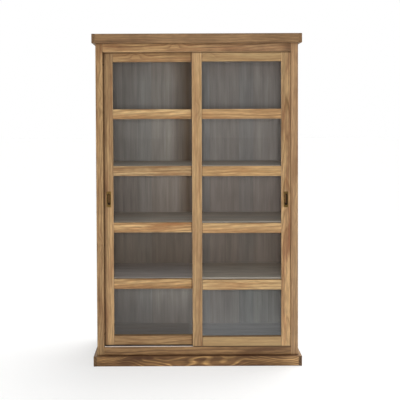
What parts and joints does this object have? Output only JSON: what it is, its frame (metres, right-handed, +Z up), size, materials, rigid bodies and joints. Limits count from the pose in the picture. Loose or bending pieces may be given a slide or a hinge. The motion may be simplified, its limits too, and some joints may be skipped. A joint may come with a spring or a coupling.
{
  "type": "bookcase with sliding doors",
  "caption": "Tall pine bookcase with a cornice, a plinth, shelves and two glazed doors that slide past each other on a lower track.",
  "frame": {"origin": "on the floor, under the middle of the outer box (cornice and plinth)", "axes": "+Z up; +X to the right as seen from the front; +Y from the doors to the back, towards the wall"},
  "size_m": [1.24, 0.45, 1.975],
  "materials": {
    "pine": "stained and waxed, satin",
    "grey_pine": "grey-brown stain, matt",
    "pane_glass": "clear float",
    "aged_brass": "antique",
    "track_aluminium": "satin anodised",
    "steel": "zinc plated",
    "wheel_nylon": "moulded",
    "buffer_rubber": "matt"
  },
  "bodies": {
    "carcass": {"left_front_post": "pine", "right_front_post": "pine", "left_rear_stile": "pine", "right_rear_stile": "pine", "left_side_rails": "pine", "right_side_rails": "pine", "left_side_panels": "pine", "right_side_panels": "pine", "header_rail": "pine", "sill_rail": "pine", "top_board": "pine", "plinth_front": "pine", "plinth_left": "pine", "plinth_right": "pine", "cornice_front": "pine", "cornice_left": "pine", "cornice_right": "pine", "back_boards": "grey_pine", "rear_bottom_rail": "grey_pine", "rear_top_rail": "grey_pine", "bottom_board": "grey_pine", "shelf_1": "grey_pine", "shelf_2": "grey_pine", "shelf_3": "grey_pine", "shelf_4": "grey_pine", "shelf_cleats": "grey_pine", "lower_track": "track_aluminium", "track_screws": "steel", "wall_brackets": "steel", "bracket_screws": "steel", "door_buffers": "buffer_rubber"},
    "left_door": {"left_door_outer_stile": "pine", "left_door_meeting_stile": "pine", "left_door_bottom_rail": "pine", "left_door_top_rail": "pine", "left_door_glazing_bars": "pine", "left_door_glazing_beads": "pine", "left_door_panes": "pane_glass", "left_door_pull": "aged_brass", "left_pull_screws": "aged_brass", "left_door_roller_housings": "steel", "left_door_roller_axles": "steel"},
    "left_wheel_1": {"left_door_wheel_1": "wheel_nylon"},
    "left_wheel_2": {"left_door_wheel_2": "wheel_nylon"},
    "right_door": {"right_door_outer_stile": "pine", "right_door_meeting_stile": "pine", "right_door_bottom_rail": "pine", "right_door_top_rail": "pine", "right_door_glazing_bars": "pine", "right_door_glazing_beads": "pine", "right_door_panes": "pane_glass", "right_door_pull": "aged_brass", "right_pull_screws": "aged_brass", "right_door_roller_housings": "steel", "right_door_roller_axles": "steel"},
    "right_wheel_1": {"right_door_wheel_1": "wheel_nylon"},
    "right_wheel_2": {"right_door_wheel_2": "wheel_nylon"}
  },
  "joints": [
    {"name": "left_door_slide", "type": "slide", "parent": "carcass", "child": "left_door", "axis": [1, 0, 0], "range_m": [0, 0.527]},
    {"name": "right_door_slide", "type": "slide", "parent": "carcass", "child": "right_door", "axis": [1, 0, 0], "range_m": [-0.527, 0]},
    {"name": "left_wheel_1_spin", "type": "hinge", "parent": "left_door", "child": "left_wheel_1", "pos_m": [-0.457, -0.1635, 0.1198], "axis": [0, 1, 0], "range_deg": [0, 2745]},
    {"name": "left_wheel_2_spin", "type": "hinge", "parent": "left_door", "child": "left_wheel_2", "pos_m": [-0.074, -0.1635, 0.1198], "axis": [0, 1, 0], "range_deg": [0, 2745]},
    {"name": "right_wheel_1_spin", "type": "hinge", "parent": "right_door", "child": "right_wheel_1", "pos_m": [0.074, -0.1895, 0.1198], "axis": [0, 1, 0], "range_deg": [-2745, 0]},
    {"name": "right_wheel_2_spin", "type": "hinge", "parent": "right_door", "child": "right_wheel_2", "pos_m": [0.457, -0.1895, 0.1198], "axis": [0, 1, 0], "range_deg": [-2745, 0]}
  ],
  "couplings": [
    {"joint": "left_wheel_1_spin", "follows": "left_door_slide", "rad_per_m": 90.909},
    {"joint": "left_wheel_2_spin", "follows": "left_door_slide", "rad_per_m": 90.909},
    {"joint": "right_wheel_1_spin", "follows": "right_door_slide", "rad_per_m": 90.909},
    {"joint": "right_wheel_2_spin", "follows": "right_door_slide", "rad_per_m": 90.909}
  ]
}
